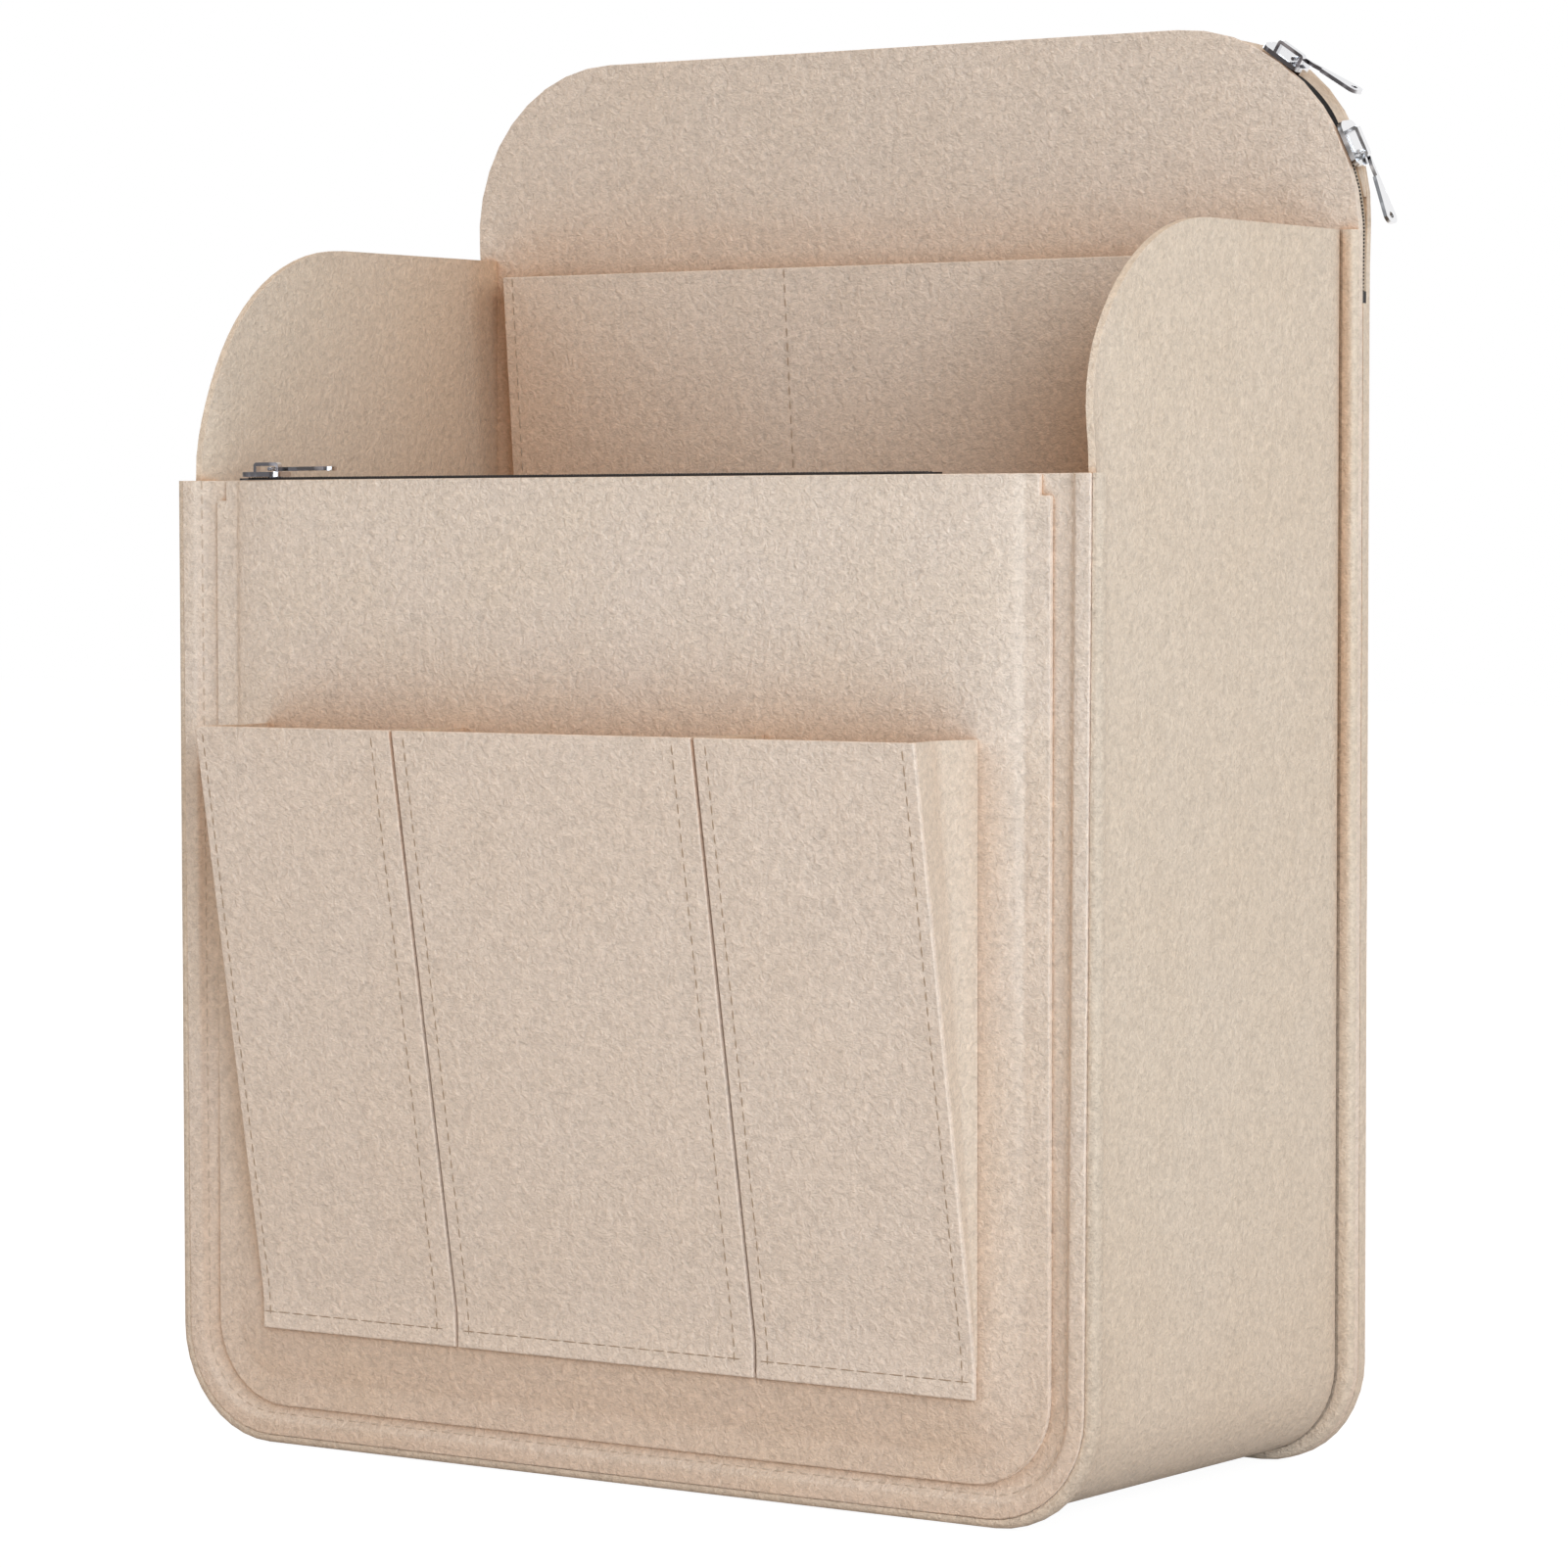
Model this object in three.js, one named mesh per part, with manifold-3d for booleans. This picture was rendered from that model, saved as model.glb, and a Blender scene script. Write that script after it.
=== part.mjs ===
// Felt organizer insert for a backpack, in millimetres, +Z up, its front facing -Y.
// It is cut from flat felt and sewn: an open main compartment with winged sides, a zipped
// patch pocket and three bellows pockets in front, an open double pocket inside, and a flat
// zipped sleeve behind. X = 0 is the middle, Z = 0 is the surface it stands on, and Y = 0 is
// the middle of the front seam's flange.

import * as THREE from 'three';
import { mergeVertices } from 'three/addons/utils/BufferGeometryUtils.js';
import Module from 'manifold-3d';

// Felt and seams
const felt = 2;                  // thickness of the panels and the gusset band
const pocketFelt = 1.6;          // thinner felt of the pockets
const pleatFelt = 1.4;           // and of the gussets at their sides
const seat = 0.3;                // gap left between a sloping piece and what it lies against

// Overall sizes
const width = 270;               // rear panels
const frontWidth = 269.4;        // front panel
const frontHeight = 241.6;
const wingHeight = 301.7;
const backHeight = 351.8;
const depth = 118.2;             // between the front and rear flanges of the gusset
const frontFoot = 25.7;          // lower corners of the front panel
const rearFoot = 25.5;           // and of the rear panels
const shoulderRadius = 48;       // upper corners of the rear panels
const wingRadius = 54;           // rounded front corner of each wing

// Gusset band
const seamReach = 2.3;           // how far the front flange shows beyond the front panel
const flangeWidth = 3.8;         // how far the rear flange stands out of the side walls
const baseRise = 2.5;            // height of the base's underside
const wallFoot = 23;             // round corner between the base and a side wall

// Front panel: a rim before the seam, a pressed groove along the stitching, a sunk field
const rimWidth = 4.3;
const grooveEnd = 7.4;           // from the panel's edge to where its field begins
const grooveFelt = 1;            // felt left under the stitching

// Zipped patch pocket on the front
const patchInset = 11;           // from the front panel's side edge to the patch's
const patchBottom = 9.8;
const patchRadius = 21;
const patchMargin = 6;           // flat margin that is sewn down
const patchWall = 2;             // width of the step between margin and raised field
const patchHollow = 2.4;         // space between the patch and the front panel
const notchWidth = 3;
const notchHeight = 5;

// Three bellows pockets on the patch
const pocketBottom = 30.4;
const pocketTop = 181.1;
const pocketsInset = 28.7;       // from the front panel's side edge to the outer pockets'
const middlePocketWidth = 88.4;
const pocketSlit = 0.8;          // between neighbouring pocket fronts
const pocketStand = 25.2;        // clear depth of a pocket at its mouth
const pocketHem = 4;             // lower edge that lies flat and is stitched
const pleatFold = 2.5;           // how far the side gussets fold inwards
const pleatStart = 2;            // clear depth at which a gusset begins

// Double pocket inside, on the middle panel
const innerBottom = 149;
const innerTop = 296.5;
const innerInset = 18;           // from the middle panel's side edge to the pocket's
const innerDivider = -25.6;      // the seam between the small and the large pocket
const innerStand = 12;
const innerFold = 1.5;

// Rear sleeve
const middleLean = 6;            // the middle panel leans forward by this from the wings to its top
const sleeveDepth = 3.4;         // between the middle and back panels
const sleeveFlare = 7;           // the back panel's top leans away by this much
const flareStart = 285;
const backInset = 1;             // the back panel is cut this much smaller all round
const seamBandWidth = 5;
const bandTip = 0.5;             // thickness at which the top band begins

// Zips
const zipGap = 1.2;              // between the two halves where the slider's neck runs
const zipProud = 0.5;            // the front zip stands this far above the felt's top edge
const stopLength = 3;
const stopGap = 0.3;             // from the front zip's left stop to the pocket's end
const frontZipShort = 25.1;      // the front zip ends this far before the pocket's right end
const rearZipEnd = 287;          // height at which the rear zip ends on both sides

// Zip sliders
const sliderLength = 11.8;
const sliderWidth = 7.4;
const sliderPlate = 1.2;
const sliderCorner = 2.2;
const neckHeight = 3.4;
const neckLength = 4.5;
const neckThickness = 0.6;
const neckCentre = 3;
const innerPlateLength = 9;
const innerPlateThickness = 1;
const runningGap = 0.3;
const underGap = 0.5;
const tiltGap = 0.25;            // more room where the rear sliders' plates tilt over the edge
const frontSliderPlace = 4.8;    // from the left end of the front zip
const upperSliderAngle = 35;     // degrees round the right shoulder from straight up
const lowerSliderAngle = 67.5;

// Bridge on the slider and the pull that hangs in it
const bridgeLength = 8;
const bridgeCentre = 0.4;
const bridgeWidth = 1.6;
const bridgeStrap = 0.9;
const bridgeClear = 1.5;         // clear height under the bridge
const pullAxis = 2.6;            // from the slider's middle to the pull's cross bar
const pullBar = 0.5;             // radius of the cross bar
const pullLength = 19.4;
const pullWidth = 4.4;
const pullRail = 1;
const pullEye = 6.8;             // length of the eye that clears the bridge
const pullHole = 0.8;
const upperPullLift = 7;         // degrees that the upper pull stands off the edge

// Depth of each layer, from the front panel's front face backwards
const flangeFrontY = felt;
const flangeBackY = flangeFrontY + felt;
const rearFlangeY = flangeBackY - felt + depth;
const middleFrontY = rearFlangeY + felt;
const middleBackY = middleFrontY + felt;
const sleeveBackY = middleBackY + sleeveDepth;
const fieldFrontY = flangeFrontY;
const fieldBackY = fieldFrontY + felt;
const patchBackY = fieldFrontY - patchHollow;
const patchFrontY = patchBackY - pocketFelt;
const seamMiddleY = flangeFrontY + felt / 2;
const leanAngle = Math.atan(middleLean / (backHeight - wingHeight));

const beyond = 20;               // how far a cutting solid reaches past what it cuts
const arcSteps = 16;
const flareSteps = 8;
const grid = 1024;               // vertices lie on this many steps to a millimetre

const wasm = await Module();
wasm.setup();

// Colours
const feltColour = new THREE.Color().setRGB(0.81, 0.74, 0.66, THREE.SRGBColorSpace);
const gussetColour = new THREE.Color().setRGB(0.79, 0.71, 0.62, THREE.SRGBColorSpace);
const zipColour = new THREE.Color().setRGB(0.09, 0.06, 0.05, THREE.SRGBColorSpace);
const chromeColour = new THREE.Color().setRGB(0.75, 0.75, 0.77, THREE.SRGBColorSpace);

function feltMaterial(colour = feltColour) {
  return new THREE.MeshStandardMaterial({ color: colour, roughness: 0.95, metalness: 0 });
}

function zipMaterial() {
  return new THREE.MeshStandardMaterial({ color: zipColour, roughness: 0.7, metalness: 0 });
}

function chromeMaterial() {
  return new THREE.MeshStandardMaterial({ color: chromeColour, roughness: 0.15, metalness: 1 });
}

// A closed geometry as a solid that can be joined and cut
function toSolid(geometry) {
  const plain = geometry.clone();
  plain.deleteAttribute('normal');
  plain.deleteAttribute('uv');
  const merged = mergeVertices(plain, 1 / grid);
  return new wasm.Manifold(new wasm.Mesh({
    numProp: 3,
    vertProperties: new Float32Array(merged.attributes.position.array),
    triVerts: new Uint32Array(merged.index.array),
  }));
}

function toGeometry(solid) {
  const mesh = solid.getMesh();
  const geometry = new THREE.BufferGeometry();
  const positions = new Float32Array(mesh.vertProperties);
  geometry.setAttribute('position', new THREE.BufferAttribute(positions, 3));
  geometry.setIndex(new THREE.BufferAttribute(new Uint32Array(mesh.triVerts), 1));
  return geometry;
}

// Pieces that lie face to face share the same grid planes, so they touch and never overlap
function snapToGrid(geometry) {
  const position = geometry.attributes.position;
  for (let i = 0; i < position.array.length; i += 1) {
    position.array[i] = Math.round(position.array[i] * grid) / grid;
  }
  position.needsUpdate = true;
  return geometry;
}

function piece(parent, name, shape, material) {
  const geometry = shape instanceof THREE.BufferGeometry ? shape : toGeometry(shape);
  const mesh = new THREE.Mesh(snapToGrid(geometry), material);
  mesh.name = name;
  mesh.geometry.computeVertexNormals();
  parent.add(mesh);
  return mesh;
}

// Outline of a panel seen from the front, x across and y up, with round corners
function panelOutline({ half, bottom, top, foot, shoulder = 0 }, inset = 0) {
  const right = half - inset;
  const low = bottom + inset;
  const footR = foot - inset;
  const shape = new THREE.Shape();
  shape.absarc(right - footR, low + footR, footR, -Math.PI / 2, 0, false);
  if (shoulder > 0) {
    const high = top - inset;
    const shoulderR = shoulder - inset;
    shape.absarc(right - shoulderR, high - shoulderR, shoulderR, 0, Math.PI / 2, false);
    shape.absarc(shoulderR - right, high - shoulderR, shoulderR, Math.PI / 2, Math.PI, false);
  } else {
    shape.lineTo(right, top);
    shape.lineTo(-right, top);
  }
  shape.absarc(footR - right, low + footR, footR, Math.PI, Math.PI * 1.5, false);
  return shape;
}

// A flat sheet with an outline seen from the front, between two depths
function sheet(outline, frontY, backY) {
  const thickness = backY - frontY;
  const geometry = new THREE.ExtrudeGeometry(outline, {
    depth: thickness,
    bevelEnabled: false,
    curveSegments: arcSteps,
  });
  geometry.rotateX(Math.PI / 2);
  geometry.translate(0, backY, 0);
  return geometry;
}

// A bar with a profile seen from the side, given as [y, z] points, between two widths
function bar(profile, leftX, rightX) {
  const outline = new THREE.Shape(profile.map(([y, z]) => new THREE.Vector2(y, z)));
  const geometry = new THREE.ExtrudeGeometry(outline, {
    depth: rightX - leftX,
    bevelEnabled: false,
  });
  const across = new THREE.Vector3(1, 0, 0);
  const back = new THREE.Vector3(0, 1, 0);
  const up = new THREE.Vector3(0, 0, 1);
  geometry.applyMatrix4(new THREE.Matrix4().makeBasis(back, up, across));
  geometry.translate(leftX, 0, 0);
  return geometry;
}

function block(leftX, rightX, frontY, backY, bottomZ, topZ) {
  const geometry = new THREE.BoxGeometry(rightX - leftX, backY - frontY, topZ - bottomZ);
  geometry.translate((leftX + rightX) / 2, (frontY + backY) / 2, (bottomZ + topZ) / 2);
  return geometry;
}

// A closed body between two rings of [x, y] points, one low and one high
function loft(lowRing, lowZ, highRing, highZ) {
  const contour = highRing.map(([x, y]) => new THREE.Vector2(x, y));
  const order = highRing.map((_, i) => i);
  if (THREE.ShapeUtils.isClockWise(contour)) {
    contour.reverse();
    order.reverse();
  }
  const count = order.length;
  const positions = [];
  for (const i of order) {
    positions.push(...lowRing[i], lowZ);
  }
  for (const i of order) {
    positions.push(...highRing[i], highZ);
  }
  const faces = [];
  for (const [a, b, c] of THREE.ShapeUtils.triangulateShape(contour, [])) {
    faces.push(c, b, a);
    faces.push(count + a, count + b, count + c);
  }
  for (let i = 0; i < count; i += 1) {
    const next = (i + 1) % count;
    faces.push(i, next, count + next);
    faces.push(i, count + next, count + i);
  }
  const geometry = new THREE.BufferGeometry();
  geometry.setAttribute('position', new THREE.Float32BufferAttribute(positions, 3));
  geometry.setIndex(faces);
  return geometry;
}

// The body's frame puts Y = 0 on the seam; all pieces below count from the front panel's face
const organizer = new THREE.Group();
organizer.name = 'organizer_insert';
const body = new THREE.Group();
body.position.y = -seamMiddleY;
organizer.add(body);

// Outlines of the panels and of the gusset band that joins them
const frontOutline = { half: frontWidth / 2, bottom: seamReach, top: frontHeight, foot: frontFoot };
const frontFlangeOutline = {
  half: frontWidth / 2 + seamReach,
  bottom: 0,
  top: frontHeight,
  foot: frontFoot + seamReach,
};
const wallOutline = {
  half: width / 2 - flangeWidth,
  bottom: baseRise,
  top: wingHeight,
  foot: wallFoot,
};
const rearOutline = {
  half: width / 2,
  bottom: 0,
  top: backHeight,
  foot: rearFoot,
  shoulder: shoulderRadius,
};

// Front panel: its rim lies on the gusset's flange, and its field sinks in between the walls
{
  const cutOutline = { ...frontOutline, top: frontHeight + beyond };
  const rim = toSolid(sheet(panelOutline(frontOutline), 0, felt));
  const fieldInset = frontOutline.half - (wallOutline.half - felt - seat);
  const field = toSolid(sheet(panelOutline(frontOutline, fieldInset), felt / 2, fieldBackY));
  const groove = toSolid(
    sheet(panelOutline(cutOutline, rimWidth), -beyond, flangeFrontY - grooveFelt),
  );
  const sunk = toSolid(sheet(panelOutline(cutOutline, grooveEnd), -beyond, fieldFrontY));
  const panel = rim.add(field).subtract(groove).subtract(sunk);
  piece(body, 'front_panel', panel, feltMaterial());
}

// Gusset band: side wall, base and side wall in one strip, with a flange turned out at each
// edge, and a rounded wing on each side that rises from the front panel's top
{
  const inside = { ...wallOutline, top: wingHeight + beyond };
  const hollow = toSolid(sheet(panelOutline(inside, felt), -beyond, rearFlangeY + beyond));
  const wall = toSolid(sheet(panelOutline(wallOutline), flangeFrontY, middleFrontY));
  const frontFlange = toSolid(sheet(panelOutline(frontFlangeOutline), flangeFrontY, flangeBackY));
  const rearFlangeOutline = { ...rearOutline, top: wingHeight, shoulder: 0 };
  const rearFlange = toSolid(sheet(panelOutline(rearFlangeOutline), rearFlangeY, middleFrontY));
  const wingCut = [[-beyond, frontHeight], [flangeBackY, frontHeight]];
  const arcY = flangeBackY + wingRadius;
  const arcZ = wingHeight - wingRadius;
  for (let i = 0; i <= arcSteps; i += 1) {
    const turn = (i / arcSteps) * (Math.PI / 2);
    wingCut.push([arcY - wingRadius * Math.cos(turn), arcZ + wingRadius * Math.sin(turn)]);
  }
  wingCut.push([arcY, wingHeight + beyond], [-beyond, wingHeight + beyond]);
  const cutter = toSolid(bar(wingCut, -width, width));
  const band = wall.add(frontFlange).add(rearFlange).subtract(hollow).subtract(cutter);
  piece(body, 'gusset_band', band, feltMaterial(gussetColour));
}

// How far the middle panel, and the zip along its edge, lean forward at a height
function leanAt(z) {
  return Math.max(0, z - wingHeight) * Math.tan(leanAngle);
}

// A slab between two depths that is upright up to the wings and leans forward above them
function leaningSlab(frontY, backY) {
  const heights = [-beyond, wingHeight, backHeight + beyond];
  const front = heights.map((z) => [frontY - leanAt(z), z]);
  const back = heights.map((z) => [backY - leanAt(z), z]).reverse();
  return toSolid(bar([...front, ...back], -width, width));
}

// Middle panel: the tall wall between the main compartment and the rear sleeve
{
  const cut = toSolid(
    sheet(panelOutline(rearOutline), middleFrontY - beyond, middleBackY + beyond),
  );
  const panel = leaningSlab(middleFrontY, middleBackY).intersect(cut);
  piece(body, 'middle_panel', panel, feltMaterial());
}

// Back panel: a little smaller all round, flat below, its top leaning away from the zip
function flareAt(z) {
  const rise = Math.max(0, z - flareStart) / (backHeight - flareStart);
  return sleeveFlare * rise * rise;
}

function flareLine(fromZ, toZ, baseY) {
  const line = [];
  for (let i = 0; i <= flareSteps; i += 1) {
    const z = fromZ + ((toZ - fromZ) * i) / flareSteps;
    line.push([baseY + flareAt(z), z]);
  }
  return line;
}

{
  const front = [[sleeveBackY, 0], ...flareLine(flareStart, backHeight, sleeveBackY)];
  const rear = front.map(([y, z]) => [y + felt, z]).reverse();
  const bent = toSolid(bar([...front, ...rear], -width, width));
  const lastY = sleeveBackY + sleeveFlare + felt + beyond;
  const cut = toSolid(sheet(panelOutline(rearOutline, backInset), sleeveBackY - beyond, lastY));
  piece(body, 'back_panel', bent.intersect(cut), feltMaterial());
}

// A strip that follows the rear panels' edge, between two insets and two depths
function edgeStrip(outerInset, innerInset, frontY, backY) {
  const outer = toSolid(sheet(panelOutline(rearOutline, outerInset), frontY, backY));
  const inner = toSolid(
    sheet(panelOutline(rearOutline, innerInset), frontY - beyond, backY + beyond),
  );
  return outer.subtract(inner);
}

function above(z) {
  return toSolid(block(-width, width, -width, width, z, backHeight + beyond));
}

function below(z) {
  return toSolid(block(-width, width, -width, width, -beyond, z));
}

// Sleeve seam band: the spacer sewn between the middle and back panels, sides and bottom
piece(
  body,
  'sleeve_seam_band',
  edgeStrip(0, seamBandWidth, middleBackY, sleeveBackY)
    .intersect(below(rearZipEnd - stopLength)),
  feltMaterial(gussetColour),
);

// Sleeve top band: widens from the shoulders up, between the zip and the leaning back panel
{
  const rise = backHeight - flareStart;
  const bandStart = flareStart + rise * Math.sqrt((bandTip + seat) / sleeveFlare);
  const curve = flareLine(bandStart, backHeight, sleeveBackY - seat);
  const zipSide = [backHeight, bandStart].map((z) => [sleeveBackY + seat - leanAt(z), z]);
  const wedge = [...curve, ...zipSide];
  const lastY = sleeveBackY + sleeveFlare + beyond;
  const ring = edgeStrip(backInset, backInset + felt, sleeveBackY - beyond, lastY);
  const band = ring.intersect(toSolid(bar(wedge, -width, width)));
  piece(body, 'sleeve_top_band', band, feltMaterial(gussetColour));
}

const patchHalf = frontWidth / 2 - patchInset;
const hollowHalf = patchHalf - patchMargin - patchWall;

// A patch outline: round lower corners and a small notch at each top corner
function patchOutline() {
  const right = patchHalf;
  const shape = new THREE.Shape();
  shape.absarc(right - patchRadius, patchBottom + patchRadius, patchRadius, -Math.PI / 2, 0, false);
  shape.lineTo(right, frontHeight - notchHeight);
  shape.lineTo(right - notchWidth, frontHeight - notchHeight);
  shape.lineTo(right - notchWidth, frontHeight);
  shape.lineTo(notchWidth - right, frontHeight);
  shape.lineTo(notchWidth - right, frontHeight - notchHeight);
  shape.lineTo(-right, frontHeight - notchHeight);
  shape.absarc(
    patchRadius - right,
    patchBottom + patchRadius,
    patchRadius,
    Math.PI,
    Math.PI * 1.5,
    false,
  );
  return shape;
}

// Zip pocket panel: a patch whose margin is sewn down and whose field stands clear of the
// front panel, open along the top where the front zip lies
{
  const field = { half: patchHalf, bottom: patchBottom, top: frontHeight, foot: patchRadius };
  const hollowOutline = { ...field, top: frontHeight + beyond };
  const margin = toSolid(sheet(patchOutline(), fieldFrontY - pocketFelt, fieldFrontY));
  const raised = toSolid(
    sheet(panelOutline(field, patchMargin), patchFrontY, fieldFrontY - pocketFelt / 2),
  );
  const hollow = toSolid(
    sheet(panelOutline(hollowOutline, patchMargin + patchWall), patchBackY, beyond),
  );
  piece(body, 'zip_pocket_panel', margin.add(raised).subtract(hollow), feltMaterial());
}

// A pocket front that stands away from its wall at the top and lies flat on it at its hem
function leaningFront(pocket, leftX, rightX) {
  const { wallY, bottom, top, stand } = pocket;
  const hemTop = bottom + pocketHem;
  const back = [[wallY, bottom], [wallY, hemTop], [wallY - stand, top]];
  const front = back.map(([y, z]) => [y - pocketFelt, z]).reverse();
  return bar([...back, ...front], leftX, rightX);
}

// A side gusset of such a pocket, folded inwards along its middle; inward is +1 or -1 in x
function foldedGusset(pocket, edgeX, inward, fold) {
  const { wallY, bottom, top, stand } = pocket;
  const hemTop = bottom + pocketHem;
  const clearDepth = stand - seat;
  const lowZ = hemTop + ((top - hemTop) * (pleatStart + seat)) / stand;
  const section = (clear) => {
    const bend = fold * (clear / clearDepth);
    const outside = [[edgeX, wallY], [edgeX + inward * bend, wallY - clear / 2], [edgeX, wallY - clear]];
    const inside = outside.map(([x, y]) => [x + inward * pleatFelt, y]).reverse();
    return [...outside, ...inside];
  };
  return loft(section(pleatStart), lowZ, section(clearDepth), top);
}

// Three bellows pockets on the patch
{
  const pocket = { wallY: patchFrontY, bottom: pocketBottom, top: pocketTop, stand: pocketStand };
  const outer = frontWidth / 2 - pocketsInset;
  const middle = middlePocketWidth / 2;
  const spans = {
    left: [-outer, -middle - pocketSlit],
    middle: [-middle, middle],
    right: [middle + pocketSlit, outer],
  };
  for (const [side, [leftX, rightX]] of Object.entries(spans)) {
    piece(body, `${side}_pocket_front`, leaningFront(pocket, leftX, rightX), feltMaterial());
    piece(
      body,
      `${side}_pocket_left_pleat`,
      foldedGusset(pocket, leftX, 1, pleatFold),
      feltMaterial(gussetColour),
    );
    piece(
      body,
      `${side}_pocket_right_pleat`,
      foldedGusset(pocket, rightX, -1, pleatFold),
      feltMaterial(gussetColour),
    );
  }
}

// Double pocket on the middle panel, inside the main compartment
{
  const pocket = { wallY: middleFrontY, bottom: innerBottom, top: innerTop, stand: innerStand };
  const half = width / 2 - innerInset;
  piece(body, 'inner_pocket_front', leaningFront(pocket, -half, half), feltMaterial());
  piece(
    body,
    'inner_pocket_left_gusset',
    foldedGusset(pocket, -half, 1, innerFold),
    feltMaterial(gussetColour),
  );
  piece(
    body,
    'inner_pocket_right_gusset',
    foldedGusset(pocket, half, -1, innerFold),
    feltMaterial(gussetColour),
  );
  piece(
    body,
    'inner_pocket_divider',
    foldedGusset(pocket, innerDivider - pleatFelt / 2, 1, 0),
    feltMaterial(gussetColour),
  );
}

// Front zip: two halves along the patch pocket's mouth, with a stop at each end
const frontZipTop = frontHeight + zipProud;
const frontZipHeight = neckHeight - runningGap - underGap;
const frontZipMiddleY = (patchBackY + fieldFrontY) / 2;
const frontZipLeft = stopGap + stopLength - hollowHalf;
const frontZipRight = hollowHalf - frontZipShort;
{
  const lowZ = frontZipTop - frontZipHeight;
  const zipStrip = (leftX, rightX, frontY, backY) =>
    block(leftX, rightX, frontY, backY, lowZ, frontZipTop);
  const frontEdgeY = frontZipMiddleY - zipGap / 2;
  const rearEdgeY = frontZipMiddleY + zipGap / 2;
  const leftEnd = frontZipLeft - stopLength;
  const rightEnd = frontZipRight + stopLength;
  const frontHalf = zipStrip(frontZipLeft, frontZipRight, patchBackY, frontEdgeY);
  const rearHalf = zipStrip(frontZipLeft, frontZipRight, rearEdgeY, fieldFrontY);
  const leftStop = zipStrip(leftEnd, frontZipLeft, patchBackY, fieldFrontY);
  const rightStop = zipStrip(frontZipRight, rightEnd, patchBackY, fieldFrontY);
  piece(body, 'front_zip_front_half', frontHalf, zipMaterial());
  piece(body, 'front_zip_rear_half', rearHalf, zipMaterial());
  piece(body, 'front_zip_left_stop', leftStop, chromeMaterial());
  piece(body, 'front_zip_right_stop', rightStop, chromeMaterial());
}

// Rear zip: two halves that run up one side of the sleeve, over the top and down the other,
// and lean forward with the middle panel, which makes their shoulder a little steeper
const rearZipMiddleY = middleBackY + sleeveDepth / 2;
const leaningRadius = shoulderRadius / Math.cos(leanAngle) + tiltGap;
{
  const shoulderRise = leaningRadius - shoulderRadius;
  const rearZipHeight = neckHeight - runningGap - underGap - backInset - shoulderRise;
  const inner = backInset + rearZipHeight;
  const strip = edgeStrip(backInset, inner, middleBackY - beyond, sleeveBackY + beyond)
    .intersect(above(rearZipEnd));
  const zipHalf = (frontY, backY) => strip.intersect(leaningSlab(frontY, backY));
  const frontHalf = zipHalf(middleBackY + seat, rearZipMiddleY - zipGap / 2);
  const rearHalf = zipHalf(rearZipMiddleY + zipGap / 2, sleeveBackY);
  piece(body, 'rear_zip_front_half', frontHalf, zipMaterial());
  piece(body, 'rear_zip_rear_half', rearHalf, zipMaterial());
  const outerX = width / 2 - backInset;
  const innerX = outerX - rearZipHeight;
  const lowZ = rearZipEnd - stopLength;
  const leftStop = block(-outerX, -innerX, middleBackY, sleeveBackY, lowZ, rearZipEnd);
  const rightStop = block(innerX, outerX, middleBackY, sleeveBackY, lowZ, rearZipEnd);
  piece(body, 'rear_zip_left_stop', leftStop, chromeMaterial());
  piece(body, 'rear_zip_right_stop', rightStop, chromeMaterial());
}

// A zip slider: x along the zip, y across it and z out of it, standing on the felt's edge.
// Its neck runs between the zip's halves, near the end that faces the open part.
function sliderSolid(openEnd) {
  const halfLength = sliderLength / 2;
  const halfWidth = sliderWidth / 2;
  const r = sliderCorner;
  const plateShape = new THREE.Shape();
  plateShape.absarc(halfLength - r, r - halfWidth, r, -Math.PI / 2, 0, false);
  plateShape.absarc(halfLength - r, halfWidth - r, r, 0, Math.PI / 2, false);
  plateShape.absarc(r - halfLength, halfWidth - r, r, Math.PI / 2, Math.PI, false);
  plateShape.absarc(r - halfLength, r - halfWidth, r, Math.PI, Math.PI * 1.5, false);
  const plate = new THREE.ExtrudeGeometry(plateShape, {
    depth: sliderPlate,
    bevelEnabled: false,
    curveSegments: 6,
  });
  const plateTop = sliderPlate;
  const neckX = openEnd * neckCentre;
  const overlap = 0.1;
  const neck = block(
    neckX - neckLength / 2,
    neckX + neckLength / 2,
    -neckThickness / 2,
    neckThickness / 2,
    -neckHeight - overlap,
    overlap,
  );
  const innerHalf = patchHollow / 2 - runningGap;
  const innerPlate = block(
    -innerPlateLength / 2,
    innerPlateLength / 2,
    -innerHalf,
    innerHalf,
    -neckHeight - innerPlateThickness,
    -neckHeight,
  );
  const left = bridgeCentre - bridgeLength / 2;
  const right = bridgeCentre + bridgeLength / 2;
  const high = plateTop + bridgeClear + bridgeStrap;
  const round = bridgeStrap;
  const bridgeShape = new THREE.Shape();
  bridgeShape.moveTo(left, plateTop - overlap);
  bridgeShape.lineTo(left + bridgeStrap, plateTop - overlap);
  bridgeShape.lineTo(left + bridgeStrap, plateTop + bridgeClear);
  bridgeShape.lineTo(right - bridgeStrap, plateTop + bridgeClear);
  bridgeShape.lineTo(right - bridgeStrap, plateTop - overlap);
  bridgeShape.lineTo(right, plateTop - overlap);
  bridgeShape.absarc(right - round, high - round, round, 0, Math.PI / 2, false);
  bridgeShape.absarc(left + round, high - round, round, Math.PI / 2, Math.PI, false);
  const bridge = new THREE.ExtrudeGeometry(bridgeShape, {
    depth: bridgeWidth,
    bevelEnabled: false,
    curveSegments: 4,
  });
  bridge.rotateX(Math.PI / 2);
  bridge.translate(0, bridgeWidth / 2, 0);
  return toSolid(plate).add(toSolid(neck)).add(toSolid(innerPlate)).add(toSolid(bridge));
}

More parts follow.
